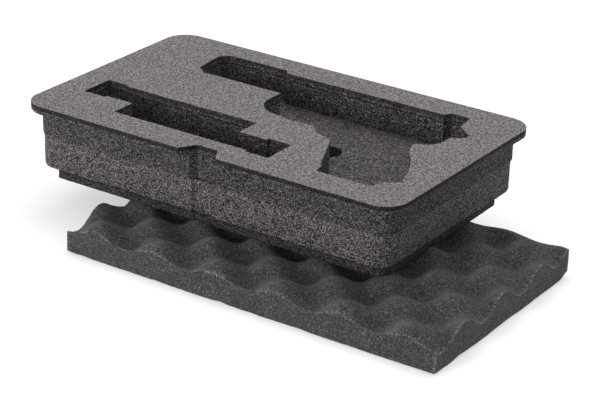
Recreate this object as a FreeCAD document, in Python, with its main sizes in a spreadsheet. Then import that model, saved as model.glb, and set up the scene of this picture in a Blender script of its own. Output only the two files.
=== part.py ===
import FreeCAD, Part
import math
import os
import Sketcher

# Two-piece foam insert set for a small hard case, in millimetres, +Z up.
# A laminated, die-cut tray rests, shifted to the left and back, on a convoluted lid pad.
# The origin is the middle of the whole set on the surface that the pad lies on.
# Tray sketches are dimensioned from the front left corner of the tray's top plate.

doc = FreeCAD.newDocument("foam_insert_set")
sheet = doc.addObject("Spreadsheet::Sheet", "dims")

DRIVING = [
    ("plate_length", 290.0, "top plate, along X"),
    ("plate_width", 178.0, "top plate, along Y"),
    ("plate_radius", 17.0, "top plate corner"),
    ("top_thick", 3.0, "fine-celled skin sheet"),
    ("lip_thick", 3.0, "coarse sheet under it, same outline"),
    ("pocket_thick", 17.0, "plank that the pockets go through"),
    ("floor_thick", 23.0, "plank that closes the pockets"),
    ("base_thick", 6.0, "lowest sheet"),
    ("pocket_inset", 6.9, "pocket plank, in from the plate's edge"),
    ("floor_inset", 7.6, "floor plank, in from the plate's edge"),
    ("block_radius", 12.0, "corners of both planks"),
    ("floor_rounding", 2.5, "floor plank's lower edge"),
    ("base_left", 24.0, "base sheet's left edge"),
    ("base_front", 8.2, "base sheet's front edge"),
    ("base_right_inset", 10.5, "base sheet, in from the plate's right edge"),
    ("base_back_inset", 27.5, "base sheet, in from the plate's back edge"),
    ("base_radius", 12.0, "base sheet's front right corner, under the block's"),
    ("base_corner", 2.0, "base sheet's three other corners, nearly square"),
    ("notch_middle", 144.7, "front finger notch, middle along X"),
    ("notch_mouth", 29.5, "its width at the plate's edge"),
    ("notch_root", 15.5, "its width at the root"),
    ("notch_depth", 11.7, "its depth from the plate's edge"),
    ("notch_low_depth", 9.5, "its depth in the floor plank and the base sheet"),
    ("magazine_length", 124.0, "slot for one magazine, foot included"),
    ("magazine_width", 22.0, "slot at the magazine's body"),
    ("foot_length", 17.5, "slot at the magazine's foot, along X"),
    ("foot_width", 26.6, "slot at the magazine's foot, along Y"),
    ("back_slot_left", 21.0, "left end of the back slot, foot at the left"),
    ("back_slot_middle", 54.4, "middle of the back slot along Y"),
    ("front_slot_right", 184.2, "right end of the front slot, foot at the right"),
    ("front_slot_middle", 34.8, "middle of the front slot along Y"),
    ("hole_middle_x", 178.0, "finger hole in the pocket floor"),
    ("hole_middle_y", 100.0, "finger hole in the pocket floor"),
    ("hole_diameter", 20.0, "finger hole in the pocket floor"),
    ("pad_length", 275.2, "lid pad, along X"),
    ("pad_width", 166.4, "lid pad, along Y"),
    ("pad_peak", 23.5, "lid pad's thickness at a peak"),
    ("pad_relief", 11.6, "from a peak down to a valley"),
    ("pad_pitch_x", 46.4, "peak to peak along X"),
    ("pad_pitch_y", 47.6, "peak to peak along Y"),
    ("pad_phase_x", 44.6, "first peak, in from the pad's right edge"),
    ("pad_phase_y", 33.6, "first peak, in from the pad's front edge"),
    ("pad_steps", 6.0, "surface rows for each pitch"),
    ("rest_gap", 0.2, "between the pad's peaks and the tray"),
    ("overhang_left", 70.3, "tray past the pad's left edge"),
    ("overhang_back", 49.5, "tray past the pad's back edge"),
]

# worked out from the driving dimensions
DERIVED = [
    ("set_length", "pad_length + overhang_left"),
    ("set_width", "pad_width + overhang_back"),
    ("tray_left", "0 - set_length / 2"),
    ("tray_front", "set_width / 2 - plate_width"),
    ("pad_left", "set_length / 2 - pad_length"),
    ("pad_front", "0 - set_width / 2"),
    ("base_level", "pad_peak + rest_gap"),
    ("floor_level", "base_level + base_thick"),
    ("pocket_level", "floor_level + floor_thick"),
    ("lip_level", "pocket_level + pocket_thick"),
    ("top_level", "lip_level + lip_thick"),
]

# left, front, right and back edge of each tray outline
PLATE_EDGES = ("0", "0", "@plate_length", "@plate_width")
POCKET_EDGES = ("@pocket_inset", "@pocket_inset",
                "@plate_length - @pocket_inset", "@plate_width - @pocket_inset")
FLOOR_EDGES = ("@floor_inset", "@floor_inset",
               "@plate_length - @floor_inset", "@plate_width - @floor_inset")
BASE_EDGES = ("@base_left", "@base_front",
              "@plate_length - @base_right_inset", "@plate_width - @base_back_inset")

# corner radii of each outline: front left, front right, back right and back left
PLATE_CORNERS = ("@plate_radius",) * 4
BLOCK_CORNERS = ("@block_radius",) * 4
BASE_CORNERS = ("@base_corner", "@base_radius", "@base_corner", "@base_corner")

# The pistol pocket, from the plate's front left corner. Each entry is the next corner, or the
# middle and end of an arc. It starts at the muzzle end of the slide slot's front wall.
PISTOL_START = (62.0, 119.9)
PISTOL_OUTLINE = [
    ((54.4, 126.4),),                      # muzzle end
    ((52.1, 148.8),),
    ((54.9, 155.9), (62.0, 158.6)),        # rounded muzzle corner
    ((105.4, 158.6),),                     # back wall beside the barrel
    ((109.0, 154.2),),                     # step in at the ejection port
    ((234.0, 154.2),),
    ((237.2, 159.6),),                     # rear sight bay
    ((251.0, 159.6),),
    ((253.5, 142.7),),
    ((265.8, 132.2),),                     # hammer and beavertail
    ((266.1, 127.5),),
    ((257.6, 121.5),),
    ((257.5, 114.5),),
    ((255.3, 106.0), (250.5, 101.6)),      # web of the hand
    ((244.9, 99.7),),
    ((244.9, 94.7),),
    ((249.7, 84.0),),                      # backstrap
    ((256.3, 74.9),),
    ((264.6, 58.5), (270.3, 39.8)),
    ((260.1, 32.3),),                      # heel of the grip
    ((259.8, 24.9),),
    ((257.4, 23.5),),
    ((219.4, 23.5),),                      # foot of the grip
    ((218.2, 31.5),),
    ((215.8, 33.8),),
    ((199.8, 69.1),),                      # front strap
    ((196.4, 72.4), (191.0, 73.3)),
    ((182.6, 77.9),),
    ((176.3, 85.1),),
    ((159.9, 82.8),),                      # under the trigger guard
    ((140.3, 86.9),),
    ((131.4, 93.2), (126.9, 106.3)),       # front of the trigger guard
    ((126.9, 119.9),),
]


def fill_sheet():
    """Write the driving numbers and the derived formulas into the spreadsheet."""
    row = 1
    for name, value, note in DRIVING:
        sheet.set(f"A{row}", note)
        sheet.set(f"B{row}", str(value))
        sheet.setAlias(f"B{row}", name)
        row += 1
    for name, formula in DERIVED:
        sheet.set(f"A{row}", name)
        sheet.set(f"B{row}", "=" + formula)
        sheet.setAlias(f"B{row}", name)
        row += 1
    doc.recompute()


def size(name):
    """A dimension from the sheet as a plain number."""
    return float(sheet.get(name))


def bind(item, path, formula):
    """Bind a property or constraint to the sheet; @ before a name stands for the sheet."""
    item.setExpression(path, formula.replace("@", "dims."))


def number(item, formula):
    """The present value of a formula."""
    return float(item.evalExpression(formula.replace("@", "dims.")))


def constrain(sketch, name, formula, *parts):
    """Add a dimensional constraint whose value is bound to the sheet."""
    value = number(sketch, formula)
    index = sketch.addConstraint(Sketcher.Constraint(*parts, value))
    sketch.renameConstraint(index, name)
    bind(sketch, "Constraints." + name, formula)


def new_body(label, level):
    """A body for one tray layer, standing at its level in the stack."""
    body = doc.addObject("PartDesign::Body", label)
    body.Label = label
    bind(body, "Placement.Base.x", "@tray_left")
    bind(body, "Placement.Base.y", "@tray_front")
    bind(body, "Placement.Base.z", level)
    return body


def new_sketch(body, name):
    """A sketch on the body's own XY plane."""
    sketch = body.newObject("Sketcher::SketchObject", name)
    plane = [item for item in body.Origin.OriginFeatures if item.Role == "XY_Plane"][0]
    sketch.AttachmentSupport = [(plane, "")]
    sketch.MapMode = "FlatFace"
    return sketch


def segment(ax, ay, bx, by):
    """A straight sketch edge."""
    return Part.LineSegment(FreeCAD.Vector(ax, ay, 0), FreeCAD.Vector(bx, by, 0))


def rounded_outline(sketch, edges, corners):
    """A rectangle with rounded corners; its edges and corner radii are bound to the sheet."""
    left, front, right, back = edges
    x0, y0, x1, y1 = [number(sketch, item) for item in edges]
    r0, r1, r2, r3 = [number(sketch, item) for item in corners]
    centres = [(x0 + r0, y0 + r0, r0), (x1 - r1, y0 + r1, r1),
               (x1 - r2, y1 - r2, r2), (x0 + r3, y1 - r3, r3)]
    runs = [(x0 + r0, y0, x1 - r1, y0), (x1, y0 + r1, x1, y1 - r2),
            (x1 - r2, y1, x0 + r3, y1), (x0, y1 - r3, x0, y0 + r0)]
    arcs = []
    lines = []
    for turn, ((x, y, r), run) in enumerate(zip(centres, runs)):
        circle = Part.Circle(FreeCAD.Vector(x, y, 0), FreeCAD.Vector(0, 0, 1), r)
        start = math.pi + turn * math.pi / 2
        arc = Part.ArcOfCircle(circle, start, start + math.pi / 2)
        arcs.append(sketch.addGeometry(arc, False))
        lines.append(sketch.addGeometry(segment(*run), False))
    for i in range(4):
        sketch.addConstraint(Sketcher.Constraint("Tangent", arcs[i], 2, lines[i], 1))
        sketch.addConstraint(Sketcher.Constraint("Tangent", lines[i], 2, arcs[(i + 1) % 4], 1))
        direction = "Horizontal" if i % 2 == 0 else "Vertical"
        sketch.addConstraint(Sketcher.Constraint(direction, lines[i]))
        constrain(sketch, f"corner{i}", corners[i], "Radius", arcs[i])
    constrain(sketch, "left", f"{left} + {corners[0]}", "DistanceX", -1, 1, arcs[0], 3)
    constrain(sketch, "front", f"{front} + {corners[0]}", "DistanceY", -1, 1, arcs[0], 3)
    constrain(sketch, "right", f"{right} - {corners[2]}", "DistanceX", -1, 1, arcs[2], 3)
    constrain(sketch, "back", f"{back} - {corners[2]}", "DistanceY", -1, 1, arcs[2], 3)


def polygon(sketch, corners):
    """A closed outline of straight edges whose corners are bound to the sheet."""
    places = [(number(sketch, x), number(sketch, y)) for x, y in corners]
    count = len(places)
    lines = []
    for i in range(count):
        edge = segment(*places[i], *places[(i + 1) % count])
        lines.append(sketch.addGeometry(edge, False))
    for i in range(count):
        sketch.addConstraint(Sketcher.Constraint("Coincident", lines[i], 2, lines[(i + 1) % count], 1))
    for i, (x, y) in enumerate(corners):
        constrain(sketch, f"x{i}", x, "DistanceX", -1, 1, lines[i], 1)
        if y == "0":
            sketch.addConstraint(Sketcher.Constraint("PointOnObject", lines[i], 1, -1))
        else:
            constrain(sketch, f"y{i}", y, "DistanceY", -1, 1, lines[i], 1)


def add_layer(label, level, thickness, edges, corners):
    """One flat foam layer, cut to its rounded outline."""
    body = new_body(label, level)
    sketch = new_sketch(body, label + "_outline")
    rounded_outline(sketch, edges, corners)
    pad = body.newObject("PartDesign::Pad", label + "_sheet")
    pad.Profile = sketch
    bind(pad, "Length", thickness)
    sketch.Visibility = False
    doc.recompute()
    return body


def cut_through(body, sketch):
    """Cut a sketch through the whole layer, and check that it took material away."""
    before = body.Shape.Volume
    pocket = body.newObject("PartDesign::Pocket", sketch.Name + "_cut")
    pocket.Profile = sketch
    pocket.Type = "ThroughAll"
    pocket.Reversed = True
    doc.recompute()
    if body.Shape.Volume >= before - 1.0:
        raise RuntimeError(sketch.Name + " cut nothing")


def round_lower_edge(body, radius):
    """Round the outline's edge on the layer's underside."""
    slab = body.Tip
    names = []
    for index, edge in enumerate(slab.Shape.Edges, start=1):
        if edge.BoundBox.ZMax < 0.001:
            names.append(f"Edge{index}")
    fillet = body.newObject("PartDesign::Fillet", body.Label + "_rounding")
    fillet.Base = (slab, names)
    bind(fillet, "Radius", radius)
    doc.recompute()


def cut_notch(body, depth):
    """The tapering finger notch in the front edge, a shallower groove in the lower layers."""
    sketch = new_sketch(body, body.Label + "_notch")
    mouth = "@notch_mouth / 2"
    root = "@notch_root / 2"
    polygon(sketch, [
        (f"@notch_middle - {mouth}", "0"),
        (f"@notch_middle + {mouth}", "0"),
        (f"@notch_middle + {root}", depth),
        (f"@notch_middle - {root}", depth),
    ])
    cut_through(body, sketch)


def cut_magazine_slot(body, name, end, sign, middle):
    """A slot for one magazine: a long body with a wider foot at the given end along X."""
    sketch = new_sketch(body, body.Label + name)
    foot = f"{end} {sign} @foot_length"
    tip = f"{end} {sign} @magazine_length"
    half_foot = "@foot_width / 2"
    half_body = "@magazine_width / 2"
    polygon(sketch, [
        (end, f"{middle} - {half_foot}"),
        (foot, f"{middle} - {half_foot}"),
        (foot, f"{middle} - {half_body}"),
        (tip, f"{middle} - {half_body}"),
        (tip, f"{middle} + {half_body}"),
        (foot, f"{middle} + {half_body}"),
        (foot, f"{middle} + {half_foot}"),
        (end, f"{middle} + {half_foot}"),
    ])
    cut_through(body, sketch)


def cut_pistol_pocket(body):
    """The pocket that follows a pistol lying on its side, muzzle to the left."""
    sketch = new_sketch(body, body.Label + "_pistol")
    at = FreeCAD.Vector(*PISTOL_START, 0)
    for places in PISTOL_OUTLINE:
        points = [FreeCAD.Vector(x, y, 0) for x, y in places]
        if len(points) == 2:
            edge = Part.Arc(at, points[0], points[1])
        else:
            edge = Part.LineSegment(at, points[0])
        index = sketch.addGeometry(edge, False)
        sketch.addConstraint(Sketcher.Constraint("Block", index))
        at = points[-1]
    close = sketch.addGeometry(Part.LineSegment(at, FreeCAD.Vector(*PISTOL_START, 0)), False)
    sketch.addConstraint(Sketcher.Constraint("Block", close))
    cut_through(body, sketch)


def cut_pockets(body):
    """Everything that is cut through the three layers above the pocket floor."""
    cut_notch(body, "@notch_depth")
    cut_magazine_slot(body, "_back_slot", "@back_slot_left", "+", "@back_slot_middle")
    cut_magazine_slot(body, "_front_slot", "@front_slot_right", "-", "@front_slot_middle")
    cut_pistol_pocket(body)


def cut_finger_hole(body):
    """The round hole in the pocket floor for pushing the pistol up."""
    sketch = new_sketch(body, body.Label + "_hole")
    radius = number(sketch, "@hole_diameter / 2")
    centre = FreeCAD.Vector(size("hole_middle_x"), size("hole_middle_y"), 0)
    circle = sketch.addGeometry(Part.Circle(centre, FreeCAD.Vector(0, 0, 1), radius), False)
    constrain(sketch, "bore", "@hole_diameter / 2", "Radius", circle)
    constrain(sketch, "across", "@hole_middle_x", "DistanceX", -1, 1, circle, 3)
    constrain(sketch, "back", "@hole_middle_y", "DistanceY", -1, 1, circle, 3)
    cut_through(body, sketch)


def make_tray():
    """The five laminated layers of the tray, from the base sheet up."""
    base = add_layer("base_sheet", "@base_level", "@base_thick", BASE_EDGES, BASE_CORNERS)
    cut_notch(base, "@notch_low_depth")
    floor = add_layer("floor_plank", "@floor_level", "@floor_thick", FLOOR_EDGES, BLOCK_CORNERS)
    round_lower_edge(floor, "@floor_rounding")
    cut_notch(floor, "@notch_low_depth")
    cut_finger_hole(floor)
    pocket = add_layer("pocket_plank", "@pocket_level", "@pocket_thick", POCKET_EDGES, BLOCK_CORNERS)
    cut_pockets(pocket)
    lip = add_layer("lip_sheet", "@lip_level", "@lip_thick", PLATE_EDGES, PLATE_CORNERS)
    cut_pockets(lip)
    top = add_layer("top_sheet", "@top_level", "@top_thick", PLATE_EDGES, PLATE_CORNERS)
    cut_pockets(top)
    return [base, floor, pocket, lip, top]


def pad_height(x, y):
    """Thickness of the convoluted pad: peaks and valleys alternate like a chequerboard."""
    half = size("pad_relief") / 2
    turn_x = 2 * math.pi * (x - size("pad_length") + size("pad_phase_x")) / size("pad_pitch_x")
    turn_y = 2 * math.pi * (y - size("pad_phase_y")) / size("pad_pitch_y")
    return size("pad_peak") - half + half * math.cos(turn_x) * math.cos(turn_y)


def make_pad():
    """The convoluted lid pad: a slab with cut edges and an egg-crate upper face."""
    length = size("pad_length")
    width = size("pad_width")
    columns = round(size("pad_steps") * length / size("pad_pitch_x"))
    rows = round(size("pad_steps") * width / size("pad_pitch_y"))
    grid = []
    for i in range(columns + 1):
        x = length * i / columns
        line = []
        for j in range(rows + 1):
            y = width * j / rows
            line.append(FreeCAD.Vector(x, y, pad_height(x, y)))
        grid.append(line)
    surface = Part.BSplineSurface()
    surface.interpolate(grid)
    crest = surface.toShape()
    ground = Part.makePlane(length, width)
    faces = [crest, ground]
    for upper in crest.Edges:
        start = upper.firstVertex().Point
        end = upper.lastVertex().Point
        foot_start = FreeCAD.Vector(start.x, start.y, 0)
        foot_end = FreeCAD.Vector(end.x, end.y, 0)
        rise = Part.makeLine(foot_end, end)
        fall = Part.makeLine(start, foot_start)
        foot = Part.makeLine(foot_start, foot_end)
        faces.append(Part.Face(Part.Wire(Part.__sortEdges__([upper, rise, foot, fall]))))
    shell = Part.makeShell(faces)
    shell.sewShape()
    solid = Part.Solid(Part.Shell(shell.Faces))
    if solid.Volume < 0:
        solid.reverse()
    pad = doc.addObject("Part::Feature", "convoluted_pad")
    pad.Label = "convoluted_pad"
    pad.Shape = solid
    pad.Placement = FreeCAD.Placement(FreeCAD.Vector(size("pad_left"), size("pad_front"), 0),
                                      FreeCAD.Rotation())
    return pad


def check(items):
    """Stop if any object failed or any sub-part has no valid solid."""
    for item in doc.Objects:
        if "Invalid" in item.State or "Error" in item.State:
            raise RuntimeError(f"{item.Label} is {item.State}")
    for item in items:
        shape = item.Shape
        if shape.isNull() or not shape.isValid() or len(shape.Solids) != 1:
            raise RuntimeError(item.Label + " has no single valid solid")


def main():
    fill_sheet()
    items = make_tray() + [make_pad()]
    doc.recompute()
    check(items)
    os.makedirs("parts", exist_ok=True)
    for item in items:
        box = item.Shape.BoundBox
        item.Shape.exportStep(f"parts/{item.Label}.step")
        print(f"{item.Label}: {item.Shape.Volume / 1000:.1f} cm3, "
              f"x {box.XMin:.1f} to {box.XMax:.1f}, y {box.YMin:.1f} to {box.YMax:.1f}, "
              f"z {box.ZMin:.1f} to {box.ZMax:.1f}")


main()
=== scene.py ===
"""The looks of a foam insert set: a die-cut laminated tray that rests on a convoluted pad.

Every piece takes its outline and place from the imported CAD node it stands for. The flat layers are
rebuilt as dense slabs whose cut walls are as ragged as coarse foam, and the pad as a dense
height field. All colours and grain come from procedural materials in object space.
"""
import math

import bmesh
import bpy
import numpy as np
from bpy import data
from mathutils import Matrix, Vector, noise
from mathutils.bvhtree import BVHTree
from mathutils.geometry import delaunay_2d_cdt
from mathutils.kdtree import KDTree


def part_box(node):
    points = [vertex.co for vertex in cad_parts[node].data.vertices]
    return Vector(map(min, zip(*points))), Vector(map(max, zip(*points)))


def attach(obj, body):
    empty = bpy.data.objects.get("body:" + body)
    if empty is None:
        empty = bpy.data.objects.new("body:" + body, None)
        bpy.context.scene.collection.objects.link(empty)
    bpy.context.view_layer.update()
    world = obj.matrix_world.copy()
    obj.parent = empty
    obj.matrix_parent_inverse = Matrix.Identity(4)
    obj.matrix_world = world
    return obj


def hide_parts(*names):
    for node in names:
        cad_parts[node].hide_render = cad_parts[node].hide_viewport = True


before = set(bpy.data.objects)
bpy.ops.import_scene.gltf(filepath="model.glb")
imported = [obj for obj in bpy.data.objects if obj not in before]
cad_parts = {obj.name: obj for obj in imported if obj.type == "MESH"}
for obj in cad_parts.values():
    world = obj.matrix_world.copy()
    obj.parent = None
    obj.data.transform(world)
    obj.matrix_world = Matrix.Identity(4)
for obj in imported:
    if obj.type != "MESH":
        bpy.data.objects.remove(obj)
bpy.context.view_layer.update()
MM = 0.001


# ---------------------------------------------------------------- outlines from the CAD layers

WELD = 1e-6                 # vertices closer than this are one
CAP_SLACK = 1e-5            # how far below the layer's top its top faces may lie
FACING_UP = 0.99            # least vertical part of a top face's normal


def outlines(node):
    """A flat CAD layer's closed outlines, seen from above with the foam on the left."""
    mesh = bmesh.new()
    mesh.from_mesh(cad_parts[node].data)
    bmesh.ops.remove_doubles(mesh, verts=mesh.verts, dist=WELD)
    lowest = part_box(node)[1][2] - CAP_SLACK
    upward = [f for f in mesh.faces if f.normal.z > FACING_UP]
    top_faces = [f for f in upward if f.calc_center_median().z > lowest]
    known = set(top_faces)
    follow = {}
    for face in top_faces:
        for corner in face.loops:
            beside = [f for f in corner.edge.link_faces if f is not face]
            if not any(f in known for f in beside):
                follow[corner.vert] = corner.link_loop_next.vert
    found = []
    while follow:
        start, at = follow.popitem()
        ring = [start.co.xy.copy(), at.co.xy.copy()]
        while at in follow:
            at = follow.pop(at)
            ring.append(at.co.xy.copy())
        found.append(ring[:-1])
    mesh.free()
    return found


def divide(ring, step):
    """Points about step apart on a closed outline, each with its outward normal."""
    count = len(ring)
    normals = []
    for i in range(count):
        run = ring[(i + 1) % count] - ring[i]
        normals.append(Vector((run.y, -run.x)).normalized())
    points = []
    for i in range(count):
        start = ring[i]
        run = ring[(i + 1) % count] - start
        parts = max(1, round(run.length / step))
        for k in range(parts):
            normal = normals[i] if k else (normals[i] + normals[i - 1]).normalized()
            points.append((*(start + run * (k / parts)), *normal))
    return np.array(points)


def rectangle(low, high):
    """The outline of a rectangle in plan."""
    return [Vector((low[0], low[1])), Vector((high[0], low[1])),
            Vector((high[0], high[1])), Vector((low[0], high[1]))]


# ---------------------------------------------------------------- slabs with a dense surface

SEED_SHIFT = (3.1, 7.7, 1.3)        # how far each seed moves the noise
ROW_GAP = 0.87                      # between rows of a triangular grid, as a part of its step
JITTER = 0.18                       # how far grid points stray, as a part of the step
CLEARANCE = 0.55                    # from grid points to an outline, as a part of the step
MERGE = 1e-7                        # cap points closer than this are one
CAP_SEED = 7
SMOOTH_LIMIT = math.radians(50)     # edges that turn more than this stay sharp
OUTER, UNDERSIDE, TOP, POCKET = range(4)        # a slab's material slots


def field(points, size, seed):
    """Smooth noise from -1 to 1 at each point, with lumps about size across."""
    shift = Vector([seed * part for part in SEED_SHIFT])
    return np.array([noise.noise(Vector(p) / size + shift) for p in points])


def inside(points, rings):
    """Which points lie in the foam, by counting outline crossings."""
    starts = np.concatenate([ring[:, :2] for ring in rings])
    ends = np.concatenate([np.roll(ring[:, :2], -1, axis=0) for ring in rings])
    result = np.zeros(len(points), bool)
    for a, b in zip(starts, ends):
        if a[1] == b[1]:
            continue
        cross = (a[1] <= points[:, 1]) != (b[1] <= points[:, 1])
        x = a[0] + (points[:, 1] - a[1]) / (b[1] - a[1]) * (b[0] - a[0])
        result ^= cross & (points[:, 0] < x)
    return result


def inner_points(rings, step, seed):
    """A slightly uneven triangular grid of points inside the outlines, clear of their edges."""
    rims = np.concatenate([ring[:, :2] for ring in rings])
    low, high = rims.min(axis=0), rims.max(axis=0)
    columns = np.arange(low[0], high[0], step)
    rows = np.arange(low[1], high[1], ROW_GAP * step)
    x, y = np.meshgrid(columns, rows)
    x[1::2] += 0.5 * step
    points = np.column_stack([x.ravel(), y.ravel()])
    points += np.random.default_rng(seed).uniform(-JITTER, JITTER, points.shape) * step
    points = points[inside(points, rings)]
    near = KDTree(len(rims))
    for index, rim in enumerate(rims):
        near.insert((*rim, 0), index)
    near.balance()
    clear = [near.find((*point, 0))[2] > CLEARANCE * step for point in points]
    return points[clear]


def cap_triangles(rings, step, seed):
    """Points and triangles that fill the outlines; the first points are the outlines' own."""
    edges = []
    first = 0
    for ring in rings:
        count = len(ring)
        edges += [(first + i, first + (i + 1) % count) for i in range(count)]
        first += count
    rims = [ring[:, :2] for ring in rings]
    points = np.concatenate([*rims, inner_points(rings, step, seed)])
    made = delaunay_2d_cdt([Vector(p) for p in points], edges, [], 0, MERGE)
    source = [ids[0] for ids in made[3]]
    triangles = np.array([[source[v] for v in face] for face in made[2]])
    return points, triangles[inside(points[triangles].mean(axis=1), rings)]


def is_hole(ring):
    """Whether an outline runs clockwise, around a pocket."""
    x, y = ring[:, 0], ring[:, 1]
    return float((x * np.roll(y, -1) - y * np.roll(x, -1)).sum()) < 0


def cut_walls(rings, step, low, high, push):
    """The walls between the surfaces low and high: rows of points from below, faces and slots."""
    plan = np.concatenate([ring[:, :2] for ring in rings])
    normals = np.concatenate([ring[:, 2:] for ring in rings])
    floor, roof = low(plan), high(plan)
    count = len(plan)
    rows = max(2, round(float((roof - floor).max()) / step)) + 1
    verts = []
    for row in range(rows):
        up = row / (rows - 1)
        z = floor + (roof - floor) * up
        out = push(np.column_stack([plan, z]), normals, up)
        verts.append(np.column_stack([plan + normals * out[:, None], z]))
    faces = []
    slots = []
    first = 0
    for ring in rings:
        size = len(ring)
        slots += [POCKET if is_hole(ring) else OUTER] * (size * (rows - 1))
        for row in range(rows - 1):
            for i in range(size):
                a = row * count + first + i
                b = row * count + first + (i + 1) % size
                faces.append((a, b, b + count, a + count))
        first += size
    return verts, faces, slots


def cap(rings, surface, step, relief, top, rim_start, inner_start):
    """A cap's inner points, and its faces; the indices of rim and inner points start as given."""
    points, triangles = cap_triangles(rings, step, seed=CAP_SEED + top)
    count = sum(len(ring) for ring in rings)
    inner = points[count:]
    z = surface(inner) + relief(inner)
    corners = points[triangles]
    u = corners[:, 1] - corners[:, 0]
    v = corners[:, 2] - corners[:, 0]
    clockwise = (u[:, 0] * v[:, 1] - u[:, 1] * v[:, 0]) <= 0
    triangles[clockwise] = triangles[clockwise][:, ::-1]
    index = np.concatenate([np.arange(count) + rim_start, np.arange(len(inner)) + inner_start])
    turn = [0, 1, 2] if top else [0, 2, 1]
    faces = [tuple(t) for t in index[triangles][:, turn].tolist()]
    return np.column_stack([inner, z]), faces


def slab(name, rings, wall_step, low, high, push, caps, materials):
    """A closed slab: cut walls between the surfaces low(xy) and high(xy), and two caps.

    push(points, normals, up) says how far each wall point stands out along its normal, where up
    runs from 0 at the bottom to 1 at the top. caps gives each cap's point spacing and its relief
    function, the underside first. The materials are for the outer walls, the underside, the top
    and the pocket walls.
    """
    verts, faces, slots = cut_walls(rings, wall_step, low, high, push)
    count = len(verts[0])
    total = count * len(verts)
    ends = [(low, caps[0], False, 0), (high, caps[1], True, total - count)]
    for surface, (step, relief), top, rim_start in ends:
        inner, cap_faces = cap(rings, surface, step, relief, top, rim_start, total)
        total += len(inner)
        verts.append(inner)
        faces += cap_faces
        slots += [TOP if top else UNDERSIDE] * len(cap_faces)
    mesh = data.meshes.new(name)
    mesh.from_pydata(np.concatenate(verts).tolist(), [], faces)
    for material in materials:
        mesh.materials.append(material)
    mesh.polygons.foreach_set("material_index", slots)
    mesh.shade_smooth()
    mesh.set_sharp_from_angle(angle=SMOOTH_LIMIT)
    mesh.update()
    piece = data.objects.new(name, mesh)
    bpy.context.scene.collection.objects.link(piece)
    return piece


def flat(level):
    """A level surface."""
    return lambda plan: np.full(len(plan), level)


def no_relief(plan):
    """A cap that stays smooth."""
    return np.zeros(len(plan))


def grain(size, amount, seed):
    """A cap relief of small lumps."""
    def relief(plan):
        points = np.column_stack([plan, np.zeros(len(plan))])
        return amount * field(points, size, seed)
    return relief


CELL_LUMP = 1.3 * MM        # size of single torn cells
TEAR_LUMP = 3.5 * MM        # size of larger tears
WANDER = 22 * MM            # length of the knife's wander
WANDER_SEED = 3             # one wander for all layers, so that their walls stay in line
TORN_INWARDS = 0.8          # mean depth of torn cells behind the cut, as a part of their relief


def ragged(seed, cells, bow, rounding, height):
    """How a knife-cut wall stands out: torn cells, a slow wander and a rounded lower edge.

    rounding gives the lower edge's radius on the front and back walls, and on the end walls.
    """
    def push(points, normals, up):
        out = cells * (field(points, CELL_LUMP, seed) - TORN_INWARDS)
        out += 0.5 * cells * field(points, TEAR_LUMP, seed + 1)
        out += bow * field(points * np.array([1, 1, 0.5]), WANDER, WANDER_SEED)
        radius = rounding[0] + (rounding[1] - rounding[0]) * normals[:, 0] ** 2
        short = np.maximum(radius - up * height, 0)
        return out - radius + np.sqrt(radius ** 2 - short ** 2)
    return push


# ---------------------------------------------------------------- materials

CELL = 0.55 * MM            # the coarse foam's cells
GLINT_SPACING = 1.1 * MM            # between the places where a painted glint may lie
GLINT_RADIUS = 0.35           # a painted glint's radius, as a part of that
UNGLINTED_SHARE = 0.965                # part of those places that have no painted glint
GLINT_GAIN = 9              # a painted glint's extra brightness, times the foam's own value
BRIGHTEST = 10              # limit for the brightest cells, times the foam's own value
BRIGHTEST_SKIN = 1.8        # the same for the skin
WRINKLE_RUN = (0.6, 1, 1)   # squeezes the skin's texture, so that wrinkles are longer along X
PAINTED_SHADE_LEVEL = 0.04           # height at which the foam's painted shade, darker lower down, leaves its own value, in metres
MIDDLE = 0.5                # mean of a noise or a random number


def add(tree, kind, settings=None, **inputs):
    """A shader node with its settings and inputs; an input may be another node's output."""
    made = tree.nodes.new("ShaderNode" + kind)
    for name, value in (settings or {}).items():
        setattr(made, name, value)
    for name, value in inputs.items():
        socket = made.inputs[name.replace("_", " ")]
        if isinstance(value, bpy.types.NodeSocket):
            tree.links.new(value, socket)
        else:
            socket.default_value = value
    return made


def calculate(tree, operation, *values):
    """A math node's output."""
    made = tree.nodes.new("ShaderNodeMath")
    made.operation = operation
    for socket, value in zip(made.inputs, values):
        if isinstance(value, bpy.types.NodeSocket):
            tree.links.new(value, socket)
        else:
            socket.default_value = value
    return made.outputs[0]


def tint(value):
    """A slightly warm neutral of that brightness."""
    return (value * 1.07, value * 0.962, value * 0.985)


def start_material(name, roughness, specular, sheen):
    """A new material, its node tree, its shader and the object coordinates."""
    material = data.materials.new(name)
    material.use_nodes = True
    tree = material.node_tree
    shader = tree.nodes["Principled BSDF"]
    shader.inputs["Roughness"].default_value = roughness
    shader.inputs["Specular IOR Level"].default_value = specular
    shader.inputs["Sheen Weight"].default_value = sheen
    shader.inputs["Sheen Roughness"].default_value = 0.6
    coords = add(tree, "TexCoord").outputs["Object"]
    return material, tree, shader, coords


def uneven(tree, coords, size, amount):
    """Object coordinates pushed about by noise, so that cells and wrinkles aren't regular."""
    cloud = add(tree, "TexNoise", Vector=coords, Scale=1 / size, Detail=1.0)
    centred = add(tree, "VectorMath", {"operation": "SUBTRACT"})
    tree.links.new(cloud.outputs["Color"], centred.inputs[0])
    centred.inputs[1].default_value = (0.5, 0.5, 0.5)
    moved = add(tree, "VectorMath", {"operation": "MULTIPLY_ADD"})
    tree.links.new(centred.outputs[0], moved.inputs[0])
    moved.inputs[1].default_value = (amount, amount, amount)
    tree.links.new(coords, moved.inputs[2])
    return moved.outputs[0]


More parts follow.
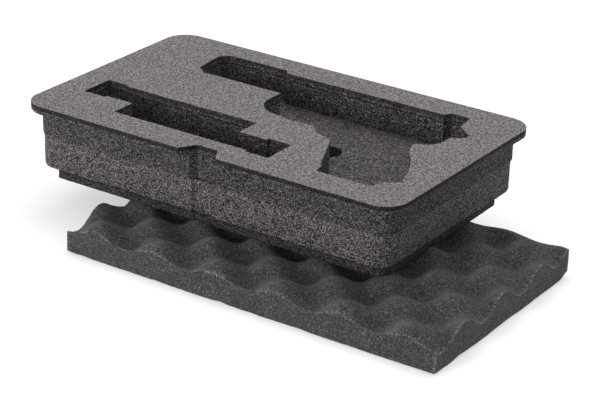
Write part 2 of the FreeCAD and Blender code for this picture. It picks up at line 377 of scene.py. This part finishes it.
def mottled(tree, value, brightest, painted_glint, *parts):
    """A grey of about that value, times e to the sum of (output - middle) * weight.

    That factor goes up to brightest at most, and the painted glint is added to it.
    """
    total = 0.0
    for output, middle, weight in parts:
        offset = calculate(tree, "SUBTRACT", output, middle)
        total = calculate(tree, "MULTIPLY_ADD", offset, weight, total)
    limited = calculate(tree, "MINIMUM", calculate(tree, "EXPONENT", total), brightest)
    factor = calculate(tree, "ADD", limited, painted_glint)
    scaled = add(tree, "VectorMath", {"operation": "SCALE"}, Scale=factor)
    scaled.inputs[0].default_value = tint(value)
    return scaled.outputs[0]


def bump(tree, height, distance, under=None):
    """A bump node's normal, on top of another if one is given."""
    made = add(tree, "Bump", Height=height, Distance=distance, Strength=1.0)
    if under is not None:
        tree.links.new(under, made.inputs["Normal"])
    return made.outputs["Normal"]


def cut_foam(name, value, contrast, cell=CELL, depth=0.5, painted_height_shade=0.0, torn=0.0):
    """Knife-cut closed-cell foam: opened cells are cups, with painted shade in them and painted
    light on their walls.

    depth is the cups' depth in cells. The height shade argument sets how fast painted shade
    darkens the foam towards the bottom, per metre, and torn adds more and brighter painted glints.
    """
    material, tree, shader, coords = start_material(name, roughness=0.7, specular=0.1, sheen=0.0)
    place = uneven(tree, coords, 3 * cell, 0.8 * cell)
    cups = add(tree, "TexVoronoi", Vector=place, Scale=1 / cell)
    walls = add(tree, "TexVoronoi", {"feature": "DISTANCE_TO_EDGE"}, Vector=place, Scale=1 / cell)
    chance = add(tree, "SeparateColor", Color=cups.outputs["Color"]).outputs["Red"]
    fine = add(tree, "TexNoise", Vector=coords, Scale=1.7 / cell, Detail=2.0, Roughness=0.7)
    slow = add(tree, "TexNoise", Vector=coords, Scale=1 / (9 * cell), Detail=2.0)
    height = add(tree, "SeparateXYZ", Vector=coords).outputs["Z"]
    # painted glints: rare bright specks added to the colour where facets would catch the light
    glint_places = add(tree, "TexVoronoi", Vector=coords, Scale=1 / GLINT_SPACING)
    glint_chance = add(tree, "SeparateColor", Color=glint_places.outputs["Color"]).outputs["Red"]
    near = calculate(tree, "LESS_THAN", glint_places.outputs["Distance"], GLINT_RADIUS)
    glinting = calculate(tree, "GREATER_THAN", glint_chance, UNGLINTED_SHARE - 0.03 * torn)
    gain = GLINT_GAIN + 16 * torn
    painted_glint = calculate(tree, "MULTIPLY", glinting, calculate(tree, "MULTIPLY", near, gain))
    colour = mottled(tree, value, BRIGHTEST, painted_glint,
                     (chance, MIDDLE, 1.9 * contrast),
                     (fine.outputs["Fac"], MIDDLE, 3.4 * contrast),
                     # painted shade in the cells' cups and painted light on their walls
                     (walls.outputs["Distance"], 0.15, -2.4 * contrast),
                     (slow.outputs["Fac"], MIDDLE, 0.9),
                     # painted shade: the foam darker towards the bottom and paler higher up
                     (height, PAINTED_SHADE_LEVEL, painted_height_shade))
    tree.links.new(colour, shader.inputs["Base Color"])
    cupped = bump(tree, cups.outputs["Distance"], depth * cell)
    frayed = bump(tree, fine.outputs["Fac"], 0.8 * depth * cell, cupped)
    tree.links.new(frayed, shader.inputs["Normal"])
    return material


def skin(name, value, grain_size, contrast, depth):
    """The moulded skin of a foam sheet: matte, with a net of fine wrinkles that run along X."""
    material, tree, shader, coords = start_material(name, roughness=0.6, specular=0.2, sheen=0.02)
    along = add(tree, "VectorMath", {"operation": "MULTIPLY"})
    tree.links.new(coords, along.inputs[0])
    along.inputs[1].default_value = WRINKLE_RUN
    place = uneven(tree, along.outputs[0], 2 * grain_size, 1.1 * grain_size)
    creases = add(tree, "TexVoronoi", {"feature": "DISTANCE_TO_EDGE"}, Vector=place,
                  Scale=1 / grain_size)
    folds = add(tree, "TexNoise", Vector=place, Scale=1.2 / grain_size, Detail=4.0,
                Roughness=0.75, Distortion=0.8)
    slow = add(tree, "TexNoise", Vector=coords, Scale=1 / (9 * grain_size), Detail=2.0)
    colour = mottled(tree, value, BRIGHTEST_SKIN, 0.0,
                     (folds.outputs["Fac"], MIDDLE, 1.7 * contrast),
                     (creases.outputs["Distance"], 0.18, 0.8 * contrast),
                     (slow.outputs["Fac"], MIDDLE, 0.3))
    tree.links.new(colour, shader.inputs["Base Color"])
    folded = bump(tree, folds.outputs["Fac"], depth)
    creased = bump(tree, creases.outputs["Distance"], 0.5 * depth, folded)
    tree.links.new(creased, shader.inputs["Normal"])
    return material


def soft_foam(name, value, cell):
    """Fine open-cell foam: softly speckled, with painted highlights along its frayed cut rim."""
    material, tree, shader, coords = start_material(name, roughness=0.9, specular=0.05, sheen=0.09)
    cells = add(tree, "TexVoronoi", Vector=coords, Scale=1 / cell)
    chance = add(tree, "SeparateColor", Color=cells.outputs["Color"]).outputs["Green"]
    fine = add(tree, "TexNoise", Vector=coords, Scale=1.4 / cell, Detail=2.0, Roughness=0.7)
    slow = add(tree, "TexNoise", Vector=coords, Scale=1 / (20 * cell), Detail=2.0)
    # rim: where the colour gets a painted highlight along the cut rim and upright corners
    rim = add(tree, "Attribute", {"attribute_name": "rim"}).outputs["Fac"]
    # painted glints: rare bright specks in the colour
    painted_glint = calculate(tree, "GREATER_THAN", chance, 0.985)
    colour = mottled(tree, value, BRIGHTEST, painted_glint,
                     (fine.outputs["Fac"], MIDDLE, 4.5), (chance, MIDDLE, 1.6),
                     (slow.outputs["Fac"], MIDDLE, 0.6), (rim, 0.0, 0.85))
    tree.links.new(colour, shader.inputs["Base Color"])
    rough = bump(tree, fine.outputs["Fac"], 0.6 * cell)
    tree.links.new(rough, shader.inputs["Normal"])
    return material


# ---------------------------------------------------------------- the tray's layers

WALL_STEP = 0.85 * MM
SQUARE = (0.3 * MM, 0.3 * MM)       # a lower edge that is hardly rounded


def stand_for(piece, node, body):
    """The piece rides on its body and shows in place of its CAD node."""
    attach(piece, body)
    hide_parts(node)


def layer(node, seed, cells, bow, rounding, caps, materials):
    """One flat foam layer of the tray, rebuilt with ragged cut walls."""
    low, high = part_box(node)
    rings = [divide(ring, WALL_STEP) for ring in outlines(node)]
    push = ragged(seed, cells, bow, rounding, high[2] - low[2])
    piece = slab(node + "_foam", rings, WALL_STEP, flat(low[2]), flat(high[2]), push, caps,
                 materials)
    stand_for(piece, node, "tray")


def build_tray():
    """All five layers, from the top down."""
    # the coarse foam carries painted shade that darkens its walls towards the bottom
    coarse = cut_foam("coarse_cut_foam", 0.0183, contrast=3.3, painted_height_shade=20)
    dense = cut_foam("dense_cut_foam", 0.0126, contrast=3.3)
    lip = cut_foam("lip_cut_foam", 0.0150, contrast=2.6)
    base = cut_foam("base_cut_foam", 0.0068, contrast=3.3)
    # the pocket walls get more and brighter painted glints
    deep = cut_foam("pocket_cut_foam", 0.0148, contrast=3.7, torn=1.0)
    edge = cut_foam("fine_cut_foam", 0.0074, contrast=1.3, cell=0.7 * MM, depth=0.25)
    inner_edge = cut_foam("fine_pocket_foam", 0.0105, contrast=2.6)
    upper_skin = skin("wrinkled_skin", 0.121, grain_size=1.15 * MM, contrast=10.0, depth=0.28 * MM)
    bed_foam = cut_foam("bed_foam", 0.026, contrast=2.2, cell=0.6 * MM)
    hidden = (3.0 * MM, no_relief)
    ledge = (2.0 * MM, grain(2.5 * MM, 0.15 * MM, 40))
    bed = (1.3 * MM, grain(3.0 * MM, 0.12 * MM, 41))
    wrinkled = (1.0 * MM, grain(2.2 * MM, 0.10 * MM, 42))
    layer("top_sheet", seed=1, cells=0.08 * MM, bow=0.15 * MM, rounding=SQUARE,
          caps=(hidden, wrinkled), materials=[edge, edge, upper_skin, inner_edge])
    layer("lip_sheet", seed=2, cells=0.32 * MM, bow=0.30 * MM,
          rounding=(0.8 * MM, 0.8 * MM), caps=(ledge, hidden), materials=[lip, dense, dense, deep])
    layer("pocket_plank", seed=3, cells=0.38 * MM, bow=0.35 * MM, rounding=SQUARE,
          caps=(ledge, hidden), materials=[dense, dense, dense, deep])
    layer("floor_plank", seed=4, cells=0.38 * MM, bow=0.35 * MM,
          rounding=(1.5 * MM, 3.0 * MM), caps=(ledge, bed),
          materials=[coarse, coarse, bed_foam, deep])
    layer("base_sheet", seed=5, cells=0.25 * MM, bow=0.30 * MM,
          rounding=(1.5 * MM, 1.0 * MM), caps=(ledge, hidden),
          materials=[base, bed_foam, coarse, deep])


# ---------------------------------------------------------------- the convoluted pad

PAD_STEP = 1.0 * MM
EDGE_DROP = 0.9 * MM        # how far the cut edges are worn down, and how far in that reaches
EDGE_REACH = 3.0 * MM
BACK_FILL = 0.24            # how much shallower the waves are at the back edge
BACK_REACH = 14 * MM
LUMPS = 0.8 * MM            # the underside's lumps
LUMP_SIZE = 12 * MM
LUMP_SEED = 60
CURLS = (0.7 * MM, 0.4 * MM, 3.0 * MM, 1.5 * MM)    # from the front left corner, anticlockwise
CURL_REACH = 6 * MM
RIM_HIGHLIGHT_REACH = 1.3 * MM        # width of the painted highlight along the frayed rim
RIM_FACING = 0.3            # a rim's normals point up at least this much
INSET = 0.1 * MM            # rays onto the CAD pad stay this far inside its outline
RAY_HEIGHT = 10 * MM


def pad_surface():
    """A function that reads the CAD pad's upper surface at points in plan."""
    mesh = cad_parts["convoluted_pad"].data
    tree = BVHTree.FromPolygons([v.co for v in mesh.vertices], [p.vertices for p in mesh.polygons])
    low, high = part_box("convoluted_pad")
    above = high[2] + RAY_HEIGHT
    down = Vector((0, 0, -1))

    def level(plan):
        found = []
        for x, y in plan:
            x = min(max(x, low[0] + INSET), high[0] - INSET)
            y = min(max(y, low[1] + INSET), high[1] - INSET)
            found.append(tree.ray_cast(Vector((x, y, above)), down)[0].z)
        return np.array(found)
    return level


def worn(level, low, high):
    """That upper surface, worn down along three cut edges, with shallower valleys at the back."""
    def worn_level(plan):
        across = np.minimum(plan[:, 0] - low[0], high[0] - plan[:, 0])
        across = np.minimum(across, plan[:, 1] - low[1])
        surface = level(plan)
        near_back = np.exp(-((high[1] - plan[:, 1]) / BACK_REACH) ** 2)
        fill = BACK_FILL * (high[2] - surface) * near_back
        return surface + fill - EDGE_DROP * np.exp(-(across / EDGE_REACH) ** 2)
    return worn_level


def worn_underside(low, high):
    """The pad's underside: lumpy, and curled up a little at its four corners."""
    corners = ((low[0], low[1]), (high[0], low[1]), (high[0], high[1]), (low[0], high[1]))

    def level(plan):
        spots = np.column_stack([plan, np.zeros(len(plan))])
        lift = LUMPS * np.clip(field(spots, LUMP_SIZE, LUMP_SEED), 0, 1)
        for (x, y), rise in zip(corners, CURLS):
            away = np.hypot(plan[:, 0] - x, plan[:, 1] - y)
            lift += rise * np.exp(-(away / CURL_REACH) ** 2)
        return lift
    return level


def mark_rim_highlight(mesh, low, high):
    """A point attribute that rises to 1 at the pad's cut upper rim and upright corners, for a
    painted highlight.
    """
    spots = np.array([v.co for v in mesh.vertices])
    across = np.minimum(spots[:, :2] - np.array(low[:2]), np.array(high[:2]) - spots[:, :2])
    upward = np.array([v.normal.z for v in mesh.vertices]) > RIM_FACING
    rim = np.exp(-(across.min(axis=1) / RIM_HIGHLIGHT_REACH) ** 2) * upward
    corner = np.exp(-(across.max(axis=1) / RIM_HIGHLIGHT_REACH) ** 2)
    values = np.maximum(rim, corner)
    mesh.attributes.new("rim", "FLOAT", "POINT").data.foreach_set("value", values)


def build_pad():
    """The convoluted pad, with its egg-crate face, cut edges and slightly worn corners."""
    low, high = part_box("convoluted_pad")
    foam = soft_foam("open_cell_foam", 0.0295, 0.75 * MM)
    rings = [divide(rectangle(low, high), PAD_STEP)]
    face = worn(pad_surface(), low, high)
    caps = ((2.5 * MM, no_relief), (PAD_STEP, grain(1.6 * MM, 0.12 * MM, 51)))
    push = ragged(seed=52, cells=0.12 * MM, bow=0.5 * MM, rounding=(0.8 * MM, 0.8 * MM),
                  height=high[2])
    piece = slab("convoluted_foam", rings, PAD_STEP, worn_underside(low, high), face, push, caps,
                 [foam] * 4)
    mark_rim_highlight(piece.data, low, high)
    stand_for(piece, "convoluted_pad", "pad")


# ---------------------------------------------------------------- camera, light and floor

AIM = Vector((-0.008, 0.020, 0.014))        # the point at the middle of the picture
AZIMUTH = math.radians(33.14)
ELEVATION = math.radians(23.97)
ROLL = math.radians(1.92)
DISTANCE = 1.42             # metres from there to the camera
LENS = 127.85               # mm
SENSOR = 36                 # mm across
LIT_POINT = Vector((0, 0, 0.04))            # the middle of the object
SURROUND = 0.95             # strength of the white surround
FLOOR_HALF = 6.0            # half the floor's side, in metres
FLOOR_LEVEL = -0.2 * MM     # just under the pad, so that the two don't share a plane
FLOOR_GREY = 0.50
FLOOR_GLOW = 0.43           # a little light of its own keeps the floor white around the shadows


def add_camera():
    """A long lens, looking down at the near right corner, slightly rolled."""
    ahead = Vector((-math.sin(AZIMUTH) * math.cos(ELEVATION),
                    math.cos(AZIMUTH) * math.cos(ELEVATION), -math.sin(ELEVATION)))
    level = ahead.cross(Vector((0, 0, 1))).normalized()
    raised = level.cross(ahead)
    right = level * math.cos(ROLL) + raised * math.sin(ROLL)
    up = raised * math.cos(ROLL) - level * math.sin(ROLL)
    turn = Matrix((right, up, -ahead)).transposed().to_4x4()
    camera = data.objects.new("camera", data.cameras.new("camera"))
    camera.data.lens = LENS
    camera.data.sensor_width = SENSOR
    camera.matrix_world = Matrix.Translation(AIM - ahead * DISTANCE) @ turn
    bpy.context.scene.collection.objects.link(camera)
    bpy.context.scene.camera = camera


def add_light(name, place, size, power):
    """A square soft box that faces the middle of the object."""
    light = data.lights.new(name, "AREA")
    light.size = size
    light.energy = power
    lamp = data.objects.new(name, light)
    lamp.location = place
    lamp.rotation_euler = (LIT_POINT - Vector(place)).to_track_quat("-Z", "Y").to_euler()
    bpy.context.scene.collection.objects.link(lamp)


def add_floor():
    """A plain pale floor."""
    mesh = data.meshes.new("floor")
    half = FLOOR_HALF
    corners = [(-half, -half), (half, -half), (half, half), (-half, half)]
    mesh.from_pydata([(x, y, FLOOR_LEVEL) for x, y in corners], [], [(0, 1, 2, 3)])
    floor = data.objects.new("floor", mesh)
    bpy.context.scene.collection.objects.link(floor)
    paint = data.materials.new("floor_paint")
    paint.use_nodes = True
    shader = paint.node_tree.nodes["Principled BSDF"]
    shader.inputs["Base Color"].default_value = (FLOOR_GREY, FLOOR_GREY, FLOOR_GREY, 1)
    shader.inputs["Roughness"].default_value = 0.9
    shader.inputs["Specular IOR Level"].default_value = 0.0
    shader.inputs["Emission Color"].default_value = (1, 1, 1, 1)
    shader.inputs["Emission Strength"].default_value = FLOOR_GLOW
    mesh.materials.append(paint)


def add_studio():
    """The floor, an even white surround and two soft boxes."""
    world = data.worlds.new("studio")
    world.use_nodes = True
    world.node_tree.nodes["Background"].inputs["Color"].default_value = (1, 1, 1, 1)
    world.node_tree.nodes["Background"].inputs["Strength"].default_value = SURROUND
    bpy.context.scene.world = world
    add_light("overhead", place=(-0.15, 0.5, 1.6), size=1.2, power=15)
    add_light("front_left", place=(-0.6, -1.9, 0.38), size=0.7, power=32)
    add_floor()
    bpy.context.scene.view_settings.view_transform = "Standard"


build_tray()
build_pad()
add_camera()
add_studio()
